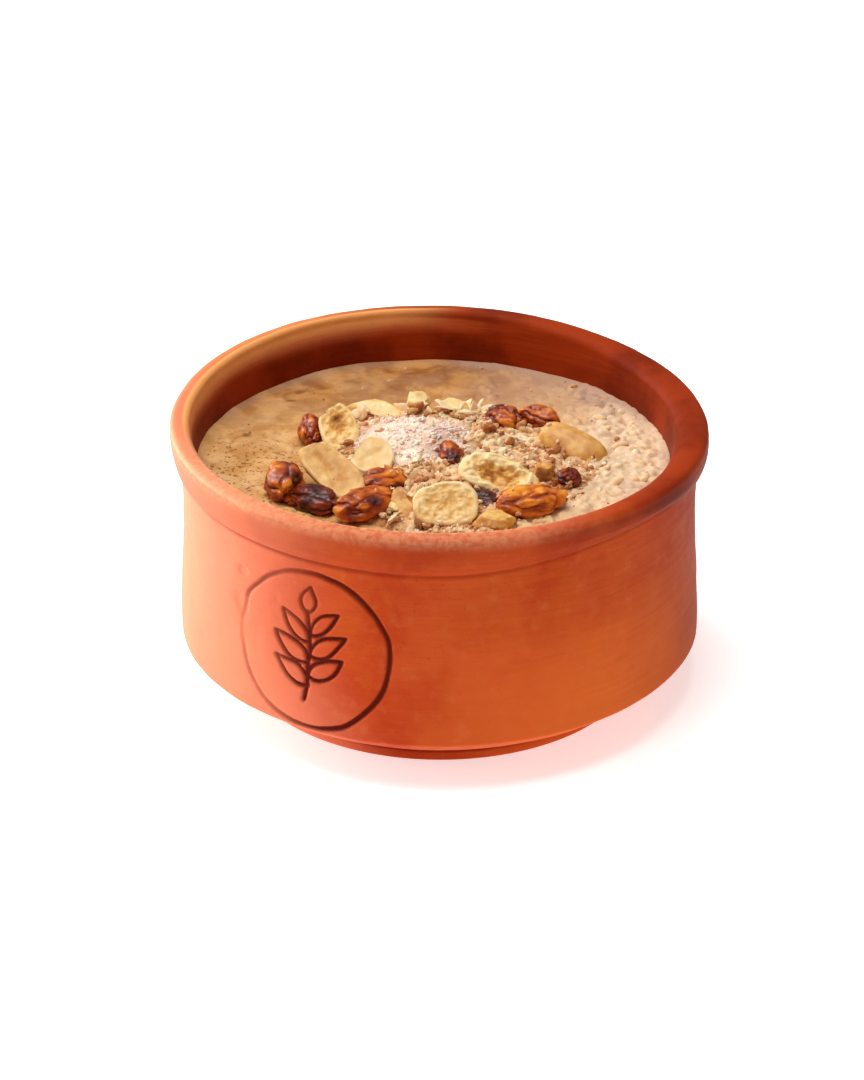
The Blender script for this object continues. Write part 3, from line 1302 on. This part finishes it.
def make_loose(surface):
    rng = np.random.default_rng(17)
    surface.keep_low()
    templates = {
        "grain": rice_grain(),
        "chunk": angular(ball(3)),
        "bit": angular(ball(2)),
        "dust": ball(1),
        "strand": shred(),
    }
    paints = {
        "crumb": crumb_material("crumbs", 0.06),
        "coconut": coconut_material(),
        "spice": spice_material(),
        "raisin": bpy.data.materials["raisin"],
    }
    for kind in LOOSE:
        places = random_places(rng, kind.count, kind.where)
        places = places[~surface.on_topping(places) | (rng.random(len(places)) < kind.on_top)]
        spread = kind.spread * np.clip(rng.normal(0, 1, (len(places), 1)), -2, 1.3)
        sizes = kind.size * np.exp(spread) * kind.shape * rng.uniform(0.75, 1.25, (len(places), 3))
        template = templates[kind.template]
        points, faces = scatter(surface, rng, template, places, sizes, kind)
        tint = rng.uniform(*kind.tints, len(places)) - 0.25 * mound(places) + clump_tint(places)
        tint = np.repeat(tint, len(template[0]))
        slot = "raisin" if kind.paint == "raisin" else "crumbs"
        add_piece(kind.name, points, faces, paints[kind.paint], slot, tint=tint, amber=tint)


# ---- stage, light, camera


WORLD_LEFT, WORLD_RIGHT = 0.45, 0.12
WHITE = (1, 1, 1, 1)
FLOOR_GLOW = 0.56
VIEW_DISTANCE = 600.0
VIEW_ELEVATION = math.radians(27.92)
VIEW_TARGET = Vector((0, 0, 28.0))
LENS = 120.03
SENSOR = 36.0
SHIFT = (-0.00837, -0.0017)
ROLL = math.radians(0.384)


def add_object(name, data):
    made = bpy.data.objects.new(name, data)
    bpy.context.scene.collection.objects.link(made)
    return made


def make_camera():
    data = bpy.data.cameras.new("camera")
    data.sensor_fit = "HORIZONTAL"
    data.sensor_width = SENSOR
    data.lens = LENS
    data.shift_x, data.shift_y = SHIFT
    data.clip_start, data.clip_end = 0.01, 20
    camera = add_object("camera", data)
    back = Vector((0, -math.cos(VIEW_ELEVATION), math.sin(VIEW_ELEVATION)))
    camera.location = (VIEW_TARGET + back * VIEW_DISTANCE) * MM
    camera.rotation_euler = (math.pi / 2 - VIEW_ELEVATION, 0, 0)
    camera.rotation_euler.rotate_axis("Z", ROLL)
    bpy.context.scene.camera = camera


def make_floor():
    shape = bmesh.new()
    bmesh.ops.create_grid(shape, x_segments=1, y_segments=1, size=3.0)
    mesh = bpy.data.meshes.new("floor")
    shape.to_mesh(mesh)
    shape.free()
    paint = Paint(
        "floor", 0.9, Specular_IOR_Level=0.0, Base_Color=srgb(238, 238, 238), Emission_Color=WHITE,
        Emission_Strength=FLOOR_GLOW,
    )
    mesh.materials.append(paint.material)
    add_object("floor", mesh)


def add_light(name, place, size, watts, color=(1, 1, 1)):
    """A soft box that looks at the bowl. Its place, width and height are in metres."""
    data = bpy.data.lights.new(name, "AREA")
    data.shape = "RECTANGLE"
    data.size, data.size_y = size
    data.energy = watts
    data.color = color
    light = add_object(name, data)
    light.location = place
    toward = VIEW_TARGET * MM - light.location
    light.rotation_euler = toward.to_track_quat("-Z", "Y").to_euler()


def make_world():
    """A pale room, brighter on the left than on the right."""
    world = bpy.data.worlds.new("studio")
    world.use_nodes = True
    tree = world.node_tree
    way = make_node(tree, "TexCoord").outputs["Generated"]
    across = make_node(tree, "SeparateXYZ", {0: way}).outputs["X"]
    levels = {"From Min": -1.0, "From Max": 1.0, "To Min": WORLD_LEFT, "To Max": WORLD_RIGHT}
    strength = make_node(tree, "MapRange", {"Value": across, **levels}).outputs[0]
    background = tree.nodes["Background"].inputs
    background["Color"].default_value = WHITE
    tree.links.new(strength, background["Strength"])
    bpy.context.scene.world = world


def make_light():
    make_world()
    add_light("top", (-0.15, -0.05, 1.0), (0.6, 0.6), 8.0, (1.0, 0.97, 0.93))
    add_light("back", (-0.75, 0.6, 0.5), (0.6, 0.6), 7.0, (1.0, 0.98, 0.96))
    add_light("card", (-0.3, 0.1, 0.03), (0.3, 0.05), 1.5)
    bpy.context.scene.view_settings.view_transform = "Standard"


def main():
    make_camera()
    make_floor()
    make_light()
    make_bowl()
    rng = np.random.default_rng(5)
    pudding = make_pudding(rice_relief(rng))
    core = make_core(crumb_relief(rng))
    placed = make_toppings()
    surface = Surface()
    for piece in (pudding, core):
        surface.lay(piece, False)
    for piece in placed:
        surface.lay(piece, True)
    make_loose(surface)


main()
bpy.context.view_layer.update()
